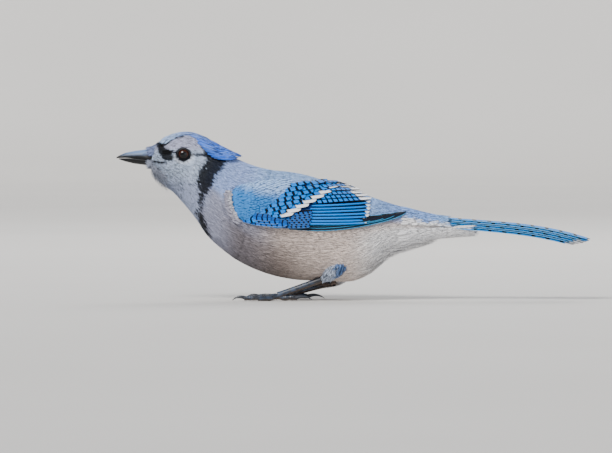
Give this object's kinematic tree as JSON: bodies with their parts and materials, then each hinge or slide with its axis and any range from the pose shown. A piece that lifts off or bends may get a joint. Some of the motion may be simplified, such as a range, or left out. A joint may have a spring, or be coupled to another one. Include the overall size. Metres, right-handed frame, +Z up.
{
  "type": "blue jay",
  "caption": "Life-size still model of a small crested perching bird, standing low on both feet with the neck stretched forward, wings folded and a long straight tail.",
  "frame": {"origin": "On the floor under the middle of the whole bird's box.", "axes": "+Z up, the bill points along -X and the tail along +X, the bird's left side faces -Y."},
  "size_m": [0.2806, 0.061, 0.101],
  "materials": {
    "body_feathers": "soft matte feathers, grey-blue above and warm grey below",
    "head_feathers": "soft feathers, blue crest over a white face with a black collar",
    "flight_feathers": "satin azure feathers with black bars and white tips",
    "bill": "smooth dark grey horn with a low sheen",
    "leg": "dark blue-grey horny scutes",
    "eye": "wet dark brown"
  },
  "bodies": {
    "root": {"head": "head_feathers", "neck": "body_feathers", "torso": "body_feathers", "bill_upper": "bill", "bill_lower": "bill", "eye_left": "eye", "eye_right": "eye", "wing_left": "flight_feathers", "wing_right": "flight_feathers", "tail": "flight_feathers", "thigh_left": "body_feathers", "tarsus_left": "leg", "toe_inner_left": "leg", "claw_inner_left": "bill", "toe_middle_left": "leg", "claw_middle_left": "bill", "toe_outer_left": "leg", "claw_outer_left": "bill", "toe_hind_left": "leg", "claw_hind_left": "bill", "thigh_right": "body_feathers", "tarsus_right": "leg", "toe_inner_right": "leg", "claw_inner_right": "bill", "toe_middle_right": "leg", "claw_middle_right": "bill", "toe_outer_right": "leg", "claw_outer_right": "bill", "toe_hind_right": "leg", "claw_hind_right": "bill"}
  },
  "joints": []
}
